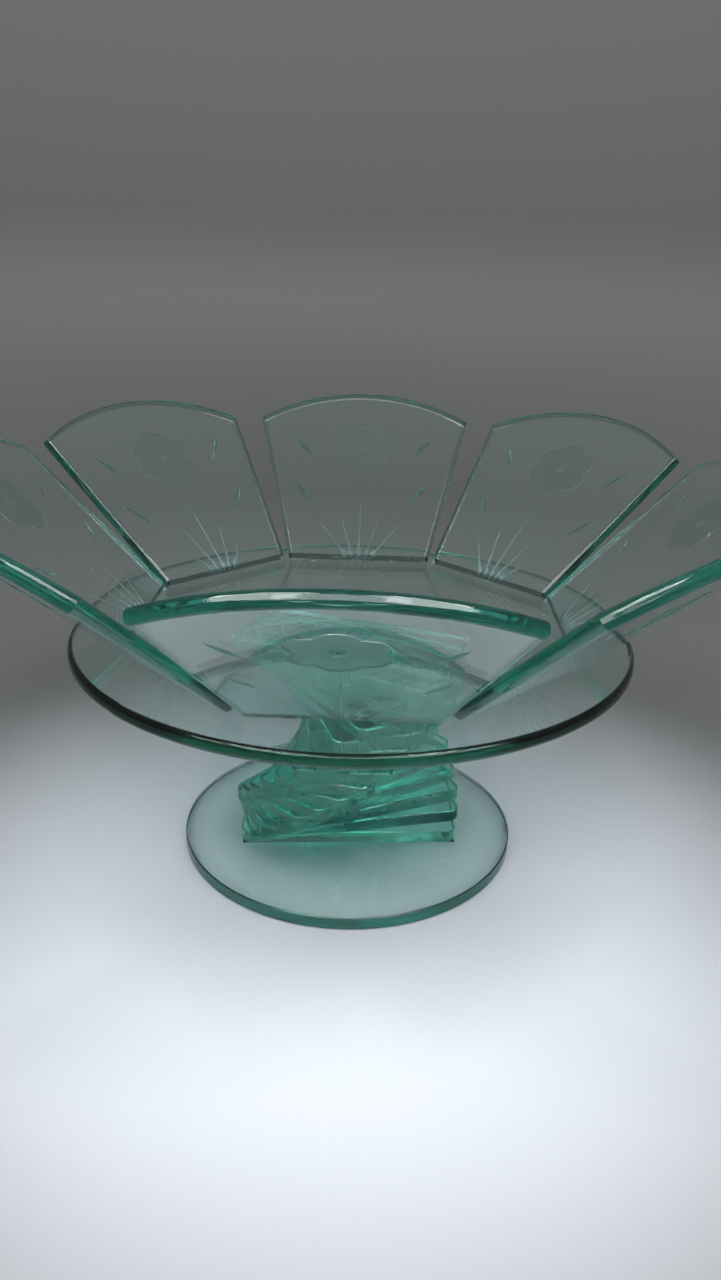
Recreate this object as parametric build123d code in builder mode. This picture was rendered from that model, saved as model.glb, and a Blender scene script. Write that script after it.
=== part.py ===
from build123d import *
import math
import os

# A pedestal fruit bowl glued up from flat panes of green float glass.
# Origin: centre of the underside of the base plate. +Z up, the front petal faces -Y.

os.makedirs("parts", exist_ok=True)

# Glass stock, the same for every pane
pane = 6.0
saw_arris = 0.5  # small flat ground along the edges of the base and the stem strips
edge_round = 2.4  # pencil-polished edge of the bowl floor and the petals

# Base plate
base_radius = 78.5

# Stem: equal rounded strips, each turned a little further than the one below
strip_count = 16
strip_length = 101.0
strip_width = 44.0
strip_corner = 5.5
first_turn = 4.0
turn_step = 10.5

# Bowl floor
floor_radius = 125.0
floor_underside = pane * (1 + strip_count)
floor_top = floor_underside + pane

# Petals: fans with an arched crown, leaning out from the bowl floor
foot_radius = 97.5
foot_width = 75.5
shoulder_width = 119.0
shoulder_reach = 93.0
crown_rise = 19.0
lean = 41.5  # slope of a petal above the horizontal
petal_names = [
    "petal_right",
    "petal_back_right",
    "petal_back",
    "petal_back_left",
    "petal_left",
    "petal_front_left",
    "petal_front",
    "petal_front_right",
]
petal_step = 360 / len(petal_names)

# Adhesive fillet under each petal's square-cut foot
fillet_toe = 2.0
fillet_inset = 1.0

# Engraving on the outer face of every petal, in the petal's own plane:
# x runs along the foot and y up the slope from it
flower_centre = (0, 74)
flower_lobes = 6
flower_turn = 30  # the first lobe's direction
lobe_radius = 7.2
lobe_offset = 10.0
flower_eye = 2.6
flower_depth = 0.35
leaf_length = 16.5
leaf_width = 2.8
leaf_depth = 0.7
leaf_slant = 52
leaf_centres = [(34, 74), (32, 42)]
ray_roots = [0, 4, 8]
ray_tips = [(0, 49), (12.5, 34), (26, 28)]
ray_foot = 3.5
ray_width = 1.5
ray_depth = 0.5
seed_length = 6.5
seed_width = 2.8
seed_depth = 0.6
wheel_flank = 4.0  # height of a cutting wheel's sloping rim
overshoot = 1.0  # how far a cutting tool stands out of the glass


def wheel_cut(centre, direction, length, width, depth):
    """Cut by a V-edged wheel: a pointed olive, deepest at its middle."""
    wheel_radius = (length**2 / 4 + depth**2) / (2 * depth)
    spread = width / 2 / depth
    spindle = Plane(
        origin=(centre[0], centre[1], depth - wheel_radius),
        x_dir=(-math.sin(math.radians(direction)), math.cos(math.radians(direction)), 0),
        z_dir=(math.cos(math.radians(direction)), math.sin(math.radians(direction)), 0),
    )
    with BuildPart() as wheel:
        with BuildSketch(spindle):
            with BuildLine():
                Polyline(
                    (0, -wheel_radius),
                    (spread * wheel_flank, wheel_flank - wheel_radius),
                    (-spread * wheel_flank, wheel_flank - wheel_radius),
                    close=True,
                )
            make_face()
        revolve(axis=Axis(spindle.origin, spindle.x_dir))
    return wheel.part


def ray_cut(root, tip):
    """Straight V groove that runs out to nothing at its tip."""
    run = Vector(tip[0] - root[0], tip[1] - root[1], 0)
    heading = run.normalized()
    climb = Vector(heading.X, heading.Y, -ray_depth / run.length)
    across = Vector(-heading.Y, heading.X, 0)
    start = Plane(origin=(root[0], root[1], 0), x_dir=across, z_dir=climb)
    tool_height = ray_depth + overshoot
    half_width = ray_width / 2 * tool_height / ray_depth
    # the groove's floor points into the glass, whichever way the plane's own y runs
    into_glass = 1 if start.y_dir.Z > 0 else -1
    with BuildPart() as groove:
        with BuildSketch(start):
            with BuildLine():
                Polyline(
                    (0, into_glass * ray_depth),
                    (half_width, -into_glass * overshoot),
                    (-half_width, -into_glass * overshoot),
                    close=True,
                )
            make_face()
        extrude(amount=run.length + overshoot)
    return groove.part


# Cutting tools of the whole engraving, laid out on the outer face of a flat petal
with BuildPart() as engraving:
    with BuildSketch(Plane.XY.offset(-overshoot)):
        with Locations(flower_centre):
            with PolarLocations(lobe_offset, flower_lobes, start_angle=flower_turn):
                Circle(lobe_radius)
            Circle(lobe_offset)
            Circle(flower_eye, mode=Mode.SUBTRACT)
    extrude(amount=overshoot + flower_depth)
    for side in (-1, 1):
        for across, up in leaf_centres:
            slant = 90 - side * (90 - leaf_slant)
            add(wheel_cut((side * across, up), slant, leaf_length, leaf_width, leaf_depth))
        for root, tip in zip(ray_roots, ray_tips):
            if side < 0 and root == 0:
                continue
            start_point = (side * root, ray_foot)
            end_point = (side * tip[0], tip[1])
            add(ray_cut(start_point, end_point))
            heading = math.degrees(math.atan2(tip[1] - ray_foot, side * (tip[0] - root)))
            add(wheel_cut(start_point, heading, seed_length, seed_width, seed_depth))


def petal_plane(azimuth):
    """Outer face of the petal: origin mid-foot, x along the foot, y up the slope."""
    turn = math.radians(azimuth)
    slope = math.radians(lean)
    outward = Vector(math.cos(turn), math.sin(turn), 0)
    return Plane(
        origin=outward * foot_radius + Vector(0, 0, floor_top),
        x_dir=(math.sin(turn), -math.cos(turn), 0),
        z_dir=outward * -math.sin(slope) + Vector(0, 0, math.cos(slope)),
    )


def save(builder, name):
    builder.part.label = name
    export_step(builder.part, f"parts/{name}.step")


# Base plate
with BuildPart() as base_plate:
    with BuildSketch():
        Circle(base_radius)
    extrude(amount=pane)
    chamfer(base_plate.edges().filter_by(GeomType.CIRCLE), saw_arris)
save(base_plate, "base_plate")

# Stem strips, from the bottom up
for layer in range(strip_count):
    turned = Plane.XY.offset(pane * (1 + layer)).rotated((0, 0, first_turn + turn_step * layer))
    with BuildPart() as strip:
        with BuildSketch(turned):
            RectangleRounded(strip_length, strip_width, strip_corner)
        extrude(amount=pane)
        rims = strip.faces().filter_by(Axis.Z).edges()
        chamfer(rims, saw_arris)
    save(strip, f"stem_strip_{layer + 1:02d}")

# Bowl floor
with BuildPart() as bowl_floor:
    with BuildSketch(Plane.XY.offset(floor_underside)):
        Circle(floor_radius)
    extrude(amount=pane)
    fillet(bowl_floor.edges().filter_by(GeomType.CIRCLE), edge_round)
save(bowl_floor, "bowl_floor")

# One petal lying on its outer face; the foot stays square, all other edges are polished round
with BuildPart() as flat_petal:
    with BuildSketch():
        with BuildLine():
            Line((-foot_width / 2, 0), (foot_width / 2, 0))
            Line((foot_width / 2, 0), (shoulder_width / 2, shoulder_reach))
            ThreePointArc(
                (shoulder_width / 2, shoulder_reach),
                (0, shoulder_reach + crown_rise),
                (-shoulder_width / 2, shoulder_reach),
            )
            Line((-shoulder_width / 2, shoulder_reach), (-foot_width / 2, 0))
        make_face()
    extrude(amount=pane)
    rims = flat_petal.faces().filter_by(Axis.Z).edges()
    fillet(rims.filter_by(lambda edge: edge.center().Y > pane), edge_round)
    add(engraving.part, mode=Mode.SUBTRACT)

# The petals in their places round the floor
for index, name in enumerate(petal_names):
    with BuildPart(petal_plane(index * petal_step)) as petal:
        add(flat_petal.part)
    save(petal, name)

# Adhesive fillets, one in the wedge under each petal's foot
foot_step = pane * math.sin(math.radians(lean))
foot_gap = pane * math.cos(math.radians(lean))
for index, name in enumerate(petal_names):
    turn = index * petal_step
    outward = Vector(math.cos(math.radians(turn)), math.sin(math.radians(turn)), 0)
    along_foot = Vector(math.sin(math.radians(turn)), -math.cos(math.radians(turn)), 0)
    half_run = foot_width / 2 - fillet_inset
    section = Plane(
        origin=outward * foot_radius + Vector(0, 0, floor_top) - along_foot * half_run,
        x_dir=outward,
        z_dir=along_foot,
    )
    with BuildPart() as fillet_bead:
        with BuildSketch(section):
            with BuildLine():
                Polyline((0, 0), (-foot_step, foot_gap), (-foot_step - fillet_toe, 0), close=True)
            make_face()
        extrude(amount=2 * half_run)
    save(fillet_bead, name.replace("petal", "adhesive"))
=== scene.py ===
import math

import bmesh
import bpy
from mathutils import Matrix, Vector


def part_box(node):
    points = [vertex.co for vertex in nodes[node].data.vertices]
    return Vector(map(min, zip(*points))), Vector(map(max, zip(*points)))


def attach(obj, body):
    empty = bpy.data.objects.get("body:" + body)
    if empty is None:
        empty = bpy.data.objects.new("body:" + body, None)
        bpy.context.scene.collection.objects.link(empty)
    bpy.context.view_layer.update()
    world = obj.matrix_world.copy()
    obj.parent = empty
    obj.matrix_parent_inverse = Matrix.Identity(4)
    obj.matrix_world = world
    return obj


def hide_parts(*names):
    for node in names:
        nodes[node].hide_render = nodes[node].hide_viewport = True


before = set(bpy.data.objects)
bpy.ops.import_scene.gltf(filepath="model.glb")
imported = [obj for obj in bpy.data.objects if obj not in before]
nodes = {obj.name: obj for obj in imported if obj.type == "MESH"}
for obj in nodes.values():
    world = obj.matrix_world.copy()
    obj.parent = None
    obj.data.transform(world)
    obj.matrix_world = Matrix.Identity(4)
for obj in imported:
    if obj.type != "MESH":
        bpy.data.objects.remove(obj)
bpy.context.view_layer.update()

# Glass pedestal fruit bowl: looks, stage, lights and camera. Metres, in the frame of the CAD model.

MM = 0.001

strips = sorted(name for name in nodes if name.startswith("stem_strip_"))
petals = sorted(name for name in nodes if name.startswith("petal_"))
beads = sorted(name for name in nodes if name.startswith("adhesive_"))

# Facts of the glazier's design that the looks depend on
pane = 6 * MM
strip_half_length = 50.5 * MM
strip_half_width = 22 * MM
arris = 0.5 * MM
first_turn = math.radians(4.0)
turn_step = math.radians(10.5)
top_turn = first_turn + turn_step * (len(strips) - 1)
foot_radius = 97.5 * MM
lean = math.radians(41.5)
petal_step = math.radians(45)
floor_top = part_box("bowl_floor")[1].z
floor_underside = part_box("bowl_floor")[0].z
base_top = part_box("base_plate")[1].z

# The engraving on a petal's outer face, measured up the slope and to the side from the foot's middle
engraved_depths = (0.05 * MM, 0.9 * MM)
engraved_heights = (0.3 * MM, 93 * MM)
engraved_aside = 33 * MM  # at the foot
engraved_widening = 0.22  # of the height
flower_height = 74 * MM
flower_reach = 19 * MM
leaf_aside = 24 * MM
leaf_height = 30 * MM

# Green float glass, and the clear adhesive under the petals
glass_ior = 1.52
matched_ior = 1.0001  # of a face glued to its neighbour: light goes straight through
iron_tint = (0.28, 0.90, 0.81)
iron_density = 25.0  # per metre of glass
adhesive_density = 4.0

# Painted shade on the ground and polished edges: what they let through, darker than the float faces
base_edge_painted_shade = (0.25, 0.18, 0.27)
floor_edge_painted_shade = (0.12, 0.20, 0.20)
petal_edge_painted_shade = (0.36, 0.50, 0.48)
# Painted shade: the dark line along a petal's glued foot
petal_foot_painted_shade = (0.10, 0.17, 0.16)
strip_edge_painted_shade = (0.62, 0.73, 0.71)

# Roughness of each finish
smear_roughness = 0.03
base_edge_roughness = 0.22
floor_edge_roughness = 0.12
petal_edge_roughness = 0.05
strip_edge_roughness = 0.18
strip_edge_unevenness = 0.10
flower_roughness = 0.20
flower_rim_roughness = 0.60
leaf_roughness = 0.25
ray_roughness = 0.35
adhesive_roughness = 0.08  # where it ran the most

# Shares of each kind of cut: how far it takes on the painted edge shade, and how much of it is matt
flower_shade = 0.70
leaf_shade = 0.90
ray_shade = 0.50
flower_matt = 0.02
ray_matt = 0.18

# Fine relief of the surfaces
edge_line_width = 0.9 * MM
edge_line_stretch = 0.06
edge_line_depth = 0.05 * MM
petal_line_depth = 0.02 * MM
adhesive_run_size = 3 * MM
adhesive_run_depth = 0.3 * MM

# Nearly 1: how squarely a face has to look along an axis to count as lying across it
squarely = 0.99
petal_squarely = 0.985

# How near a point has to be to a glued face to lie on it
joint_slack = 0.1 * MM
foot_slack = 0.2 * MM


# ---------------------------------------------------------------- shader helpers


def new_material(name):
    look = bpy.data.materials.new(name)
    look.use_nodes = True
    tree = look.node_tree
    tree.nodes.clear()
    out = tree.nodes.new("ShaderNodeOutputMaterial")
    shader = tree.nodes.new("ShaderNodeBsdfPrincipled")
    tree.links.new(shader.outputs[0], out.inputs["Surface"])
    return look, tree, shader, out


class Maths:
    """Writes node arithmetic as short calls; every call returns a socket."""

    def __init__(self, tree):
        self.tree = tree

    def __call__(self, operation, *values):
        node = self.tree.nodes.new("ShaderNodeMath")
        node.operation = operation
        for socket, value in zip(node.inputs, values):
            self.feed(socket, value)
        return node.outputs[0]

    def feed(self, socket, value):
        """Gives a socket a plain value, or links another socket to it."""
        if isinstance(value, bpy.types.NodeSocket):
            self.tree.links.new(value, socket)
        else:
            socket.default_value = value

    def total(self, *values):
        result = values[0]
        for value in values[1:]:
            result = self("ADD", result, value)
        return result

    def product(self, *values):
        result = values[0]
        for value in values[1:]:
            result = self("MULTIPLY", result, value)
        return result

    def inverse(self, share):
        return self("SUBTRACT", 1.0, share)

    def within(self, value, low, high):
        return self("MULTIPLY", self("GREATER_THAN", value, low), self("LESS_THAN", value, high))

    def near(self, value, target, distance):
        return self("LESS_THAN", self("ABSOLUTE", self("SUBTRACT", value, target)), distance)

    def across(self, facing, limit=squarely):
        """1 where a part of the surface's direction, along some axis, is nearly the whole of it."""
        return self("GREATER_THAN", self("ABSOLUTE", facing), limit)

    def length(self, x, y):
        return self("SQRT", self("ADD", self("MULTIPLY", x, x), self("MULTIPLY", y, y)))

    def noise(self, coords, size, detail):
        node = self.tree.nodes.new("ShaderNodeTexNoise")
        node.inputs["Scale"].default_value = 1 / size
        node.inputs["Detail"].default_value = detail
        self.tree.links.new(coords, node.inputs["Vector"])
        return node.outputs[0]

    def ramp(self, value, low, high):
        node = self.tree.nodes.new("ShaderNodeMapRange")
        node.interpolation_type = "SMOOTHSTEP"
        node.inputs["From Min"].default_value = low
        node.inputs["From Max"].default_value = high
        self.tree.links.new(value, node.inputs["Value"])
        return node.outputs[0]

    def blend(self, share, first, second):
        """The first colour where share is 0, the second where it is 1."""
        node = self.tree.nodes.new("ShaderNodeMix")
        node.data_type = "RGBA"
        self.tree.links.new(share, node.inputs["Factor"])
        self.feed(node.inputs["A"], first)
        self.feed(node.inputs["B"], second)
        return node.outputs["Result"]

    def vector(self, x, y, z):
        node = self.tree.nodes.new("ShaderNodeCombineXYZ")
        for socket, value in zip(node.inputs, (x, y, z)):
            self.tree.links.new(value, socket)
        return node.outputs[0]

    def bump(self, shader, height, depth):
        node = self.tree.nodes.new("ShaderNodeBump")
        node.inputs["Distance"].default_value = depth
        self.tree.links.new(height, node.inputs["Height"])
        self.tree.links.new(node.outputs[0], shader.inputs["Normal"])

    def place(self):
        """The point on the object: its socket, and x, y and z."""
        coords = self.tree.nodes.new("ShaderNodeTexCoord").outputs["Object"]
        split = self.tree.nodes.new("ShaderNodeSeparateXYZ")
        self.tree.links.new(coords, split.inputs[0])
        return coords, split.outputs["X"], split.outputs["Y"], split.outputs["Z"]

    def facing(self):
        """x, y and z of the surface's own direction."""
        split = self.tree.nodes.new("ShaderNodeSeparateXYZ")
        geometry = self.tree.nodes.new("ShaderNodeNewGeometry")
        self.tree.links.new(geometry.outputs["True Normal"], split.inputs[0])
        return split.outputs["X"], split.outputs["Y"], split.outputs["Z"]

    def petal_middle(self, x, y):
        """Direction from the axis through the middle of the petal that a point belongs to."""
        azimuth = self("ARCTAN2", y, x)
        return self("MULTIPLY", self("ROUND", self("DIVIDE", azimuth, petal_step)), petal_step)

    def in_petal_plane(self, outward, upward):
        """How far an offset, outward and upward, goes up a petal's slope and in from its outer face."""
        climb = self("ADD", self("MULTIPLY", outward, math.cos(lean)),
                     self("MULTIPLY", upward, math.sin(lean)))
        depth = self("SUBTRACT", self("MULTIPLY", upward, math.cos(lean)),
                     self("MULTIPLY", outward, math.sin(lean)))
        return climb, depth


def glass(name, density=iron_density):
    look, tree, shader, out = new_material(name)
    shader.inputs["Base Color"].default_value = (1, 1, 1, 1)
    shader.inputs["Transmission Weight"].default_value = 1
    shader.inputs["IOR"].default_value = glass_ior
    shader.inputs["Roughness"].default_value = 0
    inside = tree.nodes.new("ShaderNodeVolumeAbsorption")
    inside.inputs["Color"].default_value = (*iron_tint, 1)
    inside.inputs["Density"].default_value = density
    tree.links.new(inside.outputs[0], out.inputs["Volume"])
    return look, shader, Maths(tree)


def paint_edge_shade(m, shader, face, edge_shade_colour):
    """Clear on the float faces (face is 1 there), painted shade on the ground and polished edges."""
    colour = m.blend(face, (*edge_shade_colour, 1), (1, 1, 1, 1))
    m.feed(shader.inputs["Base Color"], colour)
    return colour


def handled(m, coords):
    """0 on clean glass, up to 1 in the faint smears that hands and cloths leave."""
    patch_size, streak_size = 45 * MM, 6 * MM
    broad = m.ramp(m.noise(coords, patch_size, 3.0), 0.50, 0.72)
    wiped = m.ramp(m.noise(coords, streak_size, 4.0), 0.35, 0.75)
    return m("MULTIPLY", broad, wiped)


def grinding_lines(m, shader, edge, coords, depth):
    """Fine lines that the polishing belt leaves along an edge: noise that the coordinates stretch."""
    grain = m.noise(coords, edge_line_width, 3.0)
    m.bump(shader, m("MULTIPLY", grain, edge), depth)


def lengthwise(m, along):
    """A distance along an edge, shrunk so that noise in it runs in long lines."""
    return m("MULTIPLY", along, edge_line_stretch)


def glued_area(m, x, y, turn):
    """1 inside the footprint of a strip turned by the given angle."""
    cosine, sine = m("COSINE", turn), m("SINE", turn)
    along = m("ADD", m("MULTIPLY", x, cosine), m("MULTIPLY", y, sine))
    across = m("SUBTRACT", m("MULTIPLY", y, cosine), m("MULTIPLY", x, sine))
    return m("MULTIPLY",
             m("LESS_THAN", m("ABSOLUTE", along), strip_half_length - arris),
             m("LESS_THAN", m("ABSOLUTE", across), strip_half_width - arris))


def set_joint(m, shader, glued):
    """Glued faces have adhesive of the same index between them, so light goes straight through."""
    ior = m("SUBTRACT", glass_ior, m("MULTIPLY", glued, glass_ior - matched_ior))
    m.feed(shader.inputs["IOR"], ior)


# ---------------------------------------------------------------- materials


def strip_look():
    look, shader, m = glass("strip_glass_look")
    coords, x, y, z = m.place()
    _, _, nz = m.facing()
    flat = m.across(nz)
    level = m("ROUND", m("DIVIDE", z, pane))  # joint number: 1 is the base plate's top
    # the joint at level n lies between strip n-2 below it and strip n-1 above it, counted from 0
    upper = m("ADD", first_turn, m("MULTIPLY", turn_step, m("SUBTRACT", level, 1)))
    lower = m("SUBTRACT", upper, turn_step)
    joint = m("MULTIPLY", glued_area(m, x, y, upper), glued_area(m, x, y, lower))
    ends = m("ADD", m("LESS_THAN", level, 1.5), m("GREATER_THAN", level, len(strips) + 0.5))
    set_joint(m, shader, m("MULTIPLY", flat, m("MAXIMUM", joint, m("MINIMUM", ends, 1))))
    # Painted shade: the ground edges are coloured darker than the float and glued faces
    paint_edge_shade(m, shader, flat, strip_edge_painted_shade)
    edge = m.inverse(flat)
    patch_size = 7 * MM
    uneven = m.ramp(m.noise(coords, patch_size, 3.0), 0.3, 0.7)
    rough = m("ADD", strip_edge_roughness, m("MULTIPLY", uneven, strip_edge_unevenness))
    m.feed(shader.inputs["Roughness"], m.product(edge, rough))
    lines = m.vector(lengthwise(m, m("ADD", x, y)), z, z)
    grinding_lines(m, shader, edge, lines, edge_line_depth)
    return look


def plate_look(name, glued_height, glued_turn, edge_shade_colour, edge_roughness):
    """A round pane with a stem strip glued to its face at the given height."""
    look, shader, m = glass(name)
    coords, x, y, z = m.place()
    _, _, nz = m.facing()
    flat = m.across(nz)
    at_joint = m.near(z, glued_height, joint_slack)
    set_joint(m, shader, m.product(at_joint, glued_area(m, x, y, glued_turn), flat))
    # Painted shade: the rim is coloured darker than the float faces
    paint_edge_shade(m, shader, flat, edge_shade_colour)
    edge = m.inverse(flat)
    smears = m.product(handled(m, coords), flat, smear_roughness)
    m.feed(shader.inputs["Roughness"], m("ADD", m("MULTIPLY", edge, edge_roughness), smears))
    lines = m.vector(lengthwise(m, m("ARCTAN2", y, x)), z, z)
    grinding_lines(m, shader, edge, lines, edge_line_depth)
    return look


def petal_look():
    """One look for all eight petals: every point is measured in the plane of its own petal."""
    look, shader, m = glass("petal_glass_look")
    coords, x, y, z = m.place()
    middle = m.petal_middle(x, y)
    turned = m("SUBTRACT", m("ARCTAN2", y, x), middle)
    reach = m.length(x, y)
    along_foot = m("MULTIPLY", reach, m("SINE", turned))
    out_from_foot = m("SUBTRACT", m("MULTIPLY", reach, m("COSINE", turned)), foot_radius)
    up_slope, depth = m.in_petal_plane(out_from_foot, m("SUBTRACT", z, floor_top))
    nx, ny, nz = m.facing()
    outward = m("ADD", m("MULTIPLY", nx, m("COSINE", middle)), m("MULTIPLY", ny, m("SINE", middle)))
    facing_up_slope, facing_in = m.in_petal_plane(outward, nz)

    # The engraving: the flower, the leaf cuts beside it and the fan of rays below it
    aside = m("ABSOLUTE", along_foot)
    cut = m.product(
        m.within(depth, *engraved_depths),
        m.within(up_slope, *engraved_heights),
        m("LESS_THAN", aside, m("ADD", engraved_aside, m("MULTIPLY", up_slope, engraved_widening))),
    )
    from_eye = m.length(along_foot, m("SUBTRACT", up_slope, flower_height))
    flower = m("MULTIPLY", cut, m("LESS_THAN", from_eye, flower_reach))
    beside = m("MULTIPLY", m("GREATER_THAN", aside, leaf_aside), m("GREATER_THAN", up_slope, leaf_height))
    leaf = m.product(m("SUBTRACT", cut, flower), beside)
    ray = m("SUBTRACT", cut, m("ADD", flower, leaf))
    float_face = m.across(facing_in, petal_squarely)
    flower_rim = m("MULTIPLY", flower, m.inverse(float_face))
    face = m("MAXIMUM", float_face, cut)
    edge = m.inverse(face)
    foot = m("MULTIPLY", m.across(facing_up_slope), m.near(up_slope, 0, foot_slack))

    # Painted shade: the petal's edges, and in part its cuts, take on the darker edge colour; the leaves
    # most, the rays least
    shade = m.total(
        m("MULTIPLY", flower, flower_shade),
        m("MULTIPLY", leaf, leaf_shade),
        m("MULTIPLY", ray, ray_shade),
    )
    colour = paint_edge_shade(m, shader, m("SUBTRACT", face, shade), petal_edge_painted_shade)
    # Painted shade along the glued foot: a dark line where the petal meets its bead
    m.feed(shader.inputs["Base Color"], m.blend(foot, colour, (*petal_foot_painted_shade, 1)))
    rough = m.total(
        m("MULTIPLY", flower, flower_roughness),
        m("MULTIPLY", flower_rim, flower_rim_roughness - flower_roughness),
        m("MULTIPLY", leaf, leaf_roughness),
        m("MULTIPLY", ray, ray_roughness),
        m("MULTIPLY", edge, petal_edge_roughness),
        m.product(handled(m, coords), face, smear_roughness),
    )
    m.feed(shader.inputs["Roughness"], rough)
    matt = m("ADD", m("MULTIPLY", flower, flower_matt), m("MULTIPLY", ray, ray_matt))
    m.feed(shader.inputs["Transmission Weight"], m.inverse(matt))
    set_joint(m, shader, foot)
    lines = m.vector(lengthwise(m, up_slope), lengthwise(m, along_foot), depth)
    grinding_lines(m, shader, edge, lines, petal_line_depth)
    return look


def bead_look():
    """Cured adhesive: clear, a little wavy where it ran, and part of the glass where it is glued."""
    look, shader, m = glass("adhesive_look", adhesive_density)
    coords, x, y, _ = m.place()
    middle = m.petal_middle(x, y)
    nx, ny, nz = m.facing()
    outward = m("ADD", m("MULTIPLY", nx, m("COSINE", middle)), m("MULTIPLY", ny, m("SINE", middle)))
    facing_foot, _ = m.in_petal_plane(outward, nz)
    glued = m("MAXIMUM", m.across(facing_foot), m.across(nz))
    set_joint(m, shader, glued)
    runs = m.noise(coords, adhesive_run_size, 3.0)
    m.bump(shader, m("MULTIPLY", runs, m.inverse(glued)), adhesive_run_depth)
    m.feed(shader.inputs["Roughness"], m.product(m.ramp(runs, 0.4, 0.7), adhesive_roughness))
    return look


# ---------------------------------------------------------------- pieces


def piece_from(node, name, look):
    """A copy of a CAD node's mesh that stands for it, so that its faces can clear its neighbours'."""
    mesh = nodes[node].data.copy()
    mesh.materials.clear()
    mesh.materials.append(look)
    piece = bpy.data.objects.new(name, mesh)
    bpy.context.scene.collection.objects.link(piece)
    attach(piece, "root")
    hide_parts(node)
    return piece


def stem():
    look = strip_look()
    hair = 0.01 * MM  # how far a strip's flat faces stand clear of the next strips'
    for node in strips:
        low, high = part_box(node)
        piece = piece_from(node, node.replace("stem_strip", "stem_pane"), look)
        for vertex in piece.data.vertices:
            if vertex.co.z > high.z - hair:
                vertex.co.z -= hair
            elif vertex.co.z < low.z + hair:
                vertex.co.z += hair


def adhesive():
    look = bead_look()
    shrink = 0.985  # a bead stands this little clear of the panes it joins
    for node in beads:
        low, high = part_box(node)
        middle = (low + high) / 2
        piece = piece_from(node, node.replace("adhesive", "bead"), look)
        for vertex in piece.data.vertices:
            vertex.co = middle + (vertex.co - middle) * shrink


def panes():
    # Each plate's rim takes its own painted shade colour
    look = plate_look("base_plate_look", base_top, first_turn, base_edge_painted_shade, base_edge_roughness)
    nodes["base_plate"].material_slots[0].material = look
    look = plate_look("bowl_floor_look", floor_underside, top_turn, floor_edge_painted_shade, floor_edge_roughness)
    nodes["bowl_floor"].material_slots[0].material = look
    look = petal_look()
    for node in petals:
        nodes[node].material_slots[0].material = look


# ---------------------------------------------------------------- stage, lights, camera


def cove_mesh():
    """A round floor that curves up into a wall."""
    radius, curve, height = 1.0, 0.3, 1.0
    inner_rings = (0.15, 0.3)
    bends, steps = 12, 96
    under_glass = -0.3 * MM
    profile = [(r, 0.0) for r in (*inner_rings, radius - curve)]
    for k in range(1, bends + 1):
        angle = math.pi / 2 * k / bends
        profile.append((radius - curve + curve * math.sin(angle), curve - curve * math.cos(angle)))
    profile.append((radius, height))
    turns = [2 * math.pi * s / steps for s in range(steps)]
    bm = bmesh.new()
    rings = []
    for r, z in profile:
        rings.append([bm.verts.new((r * math.cos(t), r * math.sin(t), z + under_glass)) for t in turns])
    bm.faces.new(rings[0])
    for inner, outer in zip(rings, rings[1:]):
        for s in range(steps):
            t = (s + 1) % steps
            bm.faces.new((inner[s], outer[s], outer[t], inner[t]))
    for face in bm.faces:
        face.smooth = True
    mesh = bpy.data.meshes.new("studio_floor")
    bm.to_mesh(mesh)
    bm.free()
    return mesh


def stage_look_with_painted_light():
    """Painted light: palest under the base plate, a painted pool of pale light around the bowl, and grey
    further out and on the wall.
    """
    look, _, shader, _ = new_material("studio_floor_painted_light_look")
    m = Maths(look.node_tree)
    coords, x, y, _ = m.place()
    painted_light_under_base, painted_pool_pale, grey = (0.94, 0.94, 1.0, 1), (0.62, 0.64, 0.70, 1), (0.12, 0.12, 0.12, 1)
    # Painted light: a pool of pale light centred in front of the bowl and fading to grey, and brighter
    # light under the base plate fading out near its rim
    light_pool_centre = 0.06  # how far in front of the bowl the pale area is centred
    light_pool_fade = (0.08, 0.30)  # between these distances from there it turns grey
    base_light_fade = (66 * MM, 82 * MM)  # from the axis: about the base plate's rim
    grain_size, grain_depth = 1.5 * MM, 0.05 * MM
    smoothest, unevenness = 0.45, 0.2
    from_centre = m.length(x, m("ADD", y, light_pool_centre))
    painted_light_pool = m.blend(m.ramp(from_centre, *light_pool_fade), painted_pool_pale, grey)
    past_base_light = m.ramp(m.length(x, y), *base_light_fade)
    # Painted light in the floor's colour: the pool around the bowl and the brighter disc under the base
    m.feed(shader.inputs["Base Color"], m.blend(past_base_light, painted_light_under_base, painted_light_pool))
    grain = m.noise(coords, grain_size, 4.0)
    m.feed(shader.inputs["Roughness"], m("ADD", smoothest, m("MULTIPLY", grain, unevenness)))
    m.bump(shader, grain, grain_depth)
    return look


def stage():
    floor = bpy.data.objects.new("studio_floor", cove_mesh())
    floor.data.materials.append(stage_look_with_painted_light())
    bpy.context.scene.collection.objects.link(floor)


def lamp(name, where, target, size, power):
    data = bpy.data.lights.new(name, "AREA")
    data.shape = "RECTANGLE"
    data.size, data.size_y = size
    data.energy = power
    light = bpy.data.objects.new(name, data)
    light.location = where
    light.rotation_euler = (Vector(target) - Vector(where)).to_track_quat("-Z", "Y").to_euler()
    bpy.context.scene.collection.objects.link(light)


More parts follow.
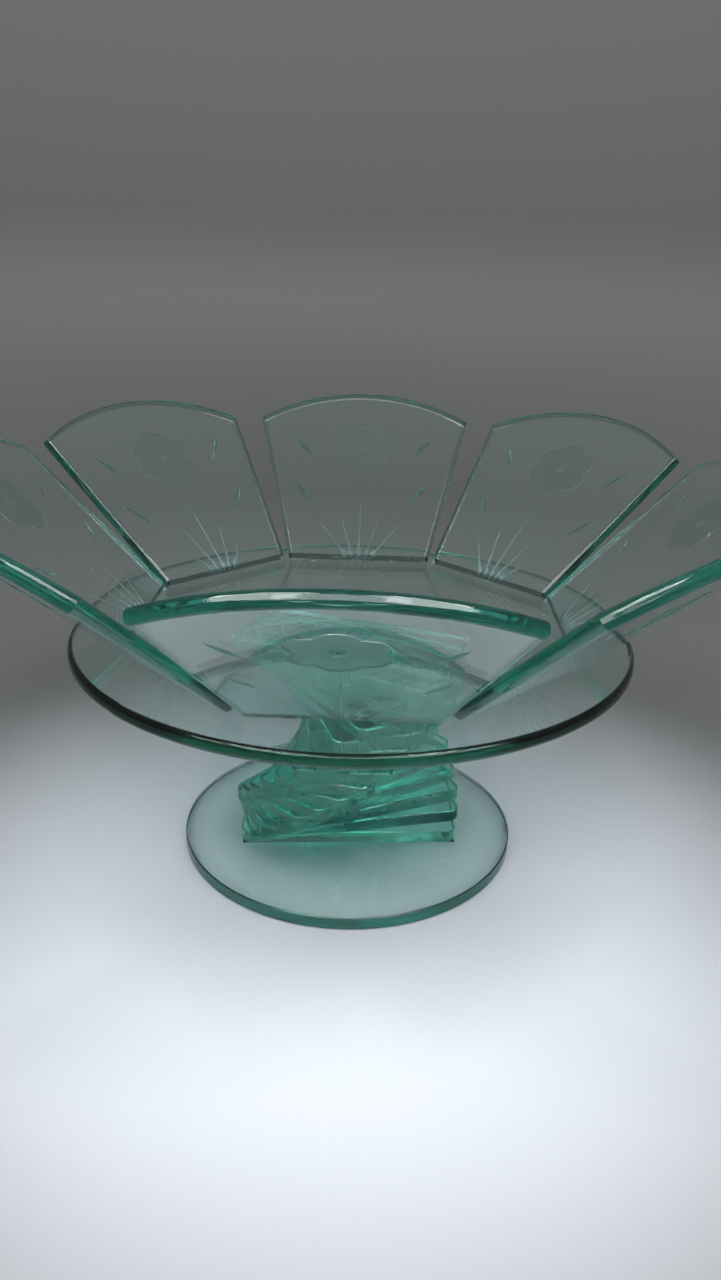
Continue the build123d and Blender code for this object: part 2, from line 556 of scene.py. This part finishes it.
def lights():
    """Large soft lamps in front and to the sides, clear of what the back petals mirror."""
    world = bpy.data.worlds.new("studio")
    bpy.context.scene.world = world
    world.use_nodes = True
    background = world.node_tree.nodes["Background"]
    background.inputs["Color"].default_value = (0.82, 1.0, 0.97, 1)
    background.inputs["Strength"].default_value = 0.30
    base, bowl = (0, 0, 0), (0, 0, 0.1)
    key_size, fill_size, sparkle_size = (0.7, 0.7), (0.9, 0.4), (0.15, 0.15)
    lamp("key_right", (0.60, -0.50, 1.30), base, key_size, power=12)
    lamp("key_left", (-0.60, -0.50, 1.30), base, key_size, power=11)
    lamp("fill", (0, -0.75, 1.0), base, fill_size, power=5.2)
    for number, where in enumerate(((0.35, -0.25, 1.2), (0.75, -0.25, 1.1), (-0.75, -0.25, 1.1)), 1):
        lamp(f"sparkle_{number}", where, bowl, sparkle_size, power=1.0)


def camera():
    """Stands at the viewer's place, a little above the bowl and looking down at it."""
    pitch, yaw, roll = 0.3814, -0.0174, 0.0259
    place = (0.0114, -0.4245, 0.2708)
    forward = Vector((math.sin(yaw) * math.cos(pitch), math.cos(yaw) * math.cos(pitch), -math.sin(pitch)))
    right = forward.cross(Vector((0, 0, 1))).normalized()
    up = right.cross(forward)
    side = right * math.cos(roll) + up * math.sin(roll)
    head = up * math.cos(roll) - right * math.sin(roll)
    data = bpy.data.cameras.new("camera")
    data.lens = 28.125
    data.clip_start = 0.01
    data.clip_end = 20
    eye = bpy.data.objects.new("camera", data)
    eye.matrix_world = Matrix.Translation(place) @ Matrix((side, head, -forward)).transposed().to_4x4()
    bpy.context.scene.collection.objects.link(eye)
    bpy.context.scene.camera = eye


def light_paths():
    """Glass needs many bounces: a ray can cross all sixteen strips and both plates."""
    scene = bpy.context.scene
    scene.view_settings.view_transform = "Standard"
    scene.cycles.max_bounces = 48
    scene.cycles.transmission_bounces = 48
    scene.cycles.glossy_bounces = 16
    scene.cycles.diffuse_bounces = 4
    scene.cycles.sample_clamp_indirect = 40


stem()
adhesive()
panes()
stage()
lights()
camera()
light_paths()
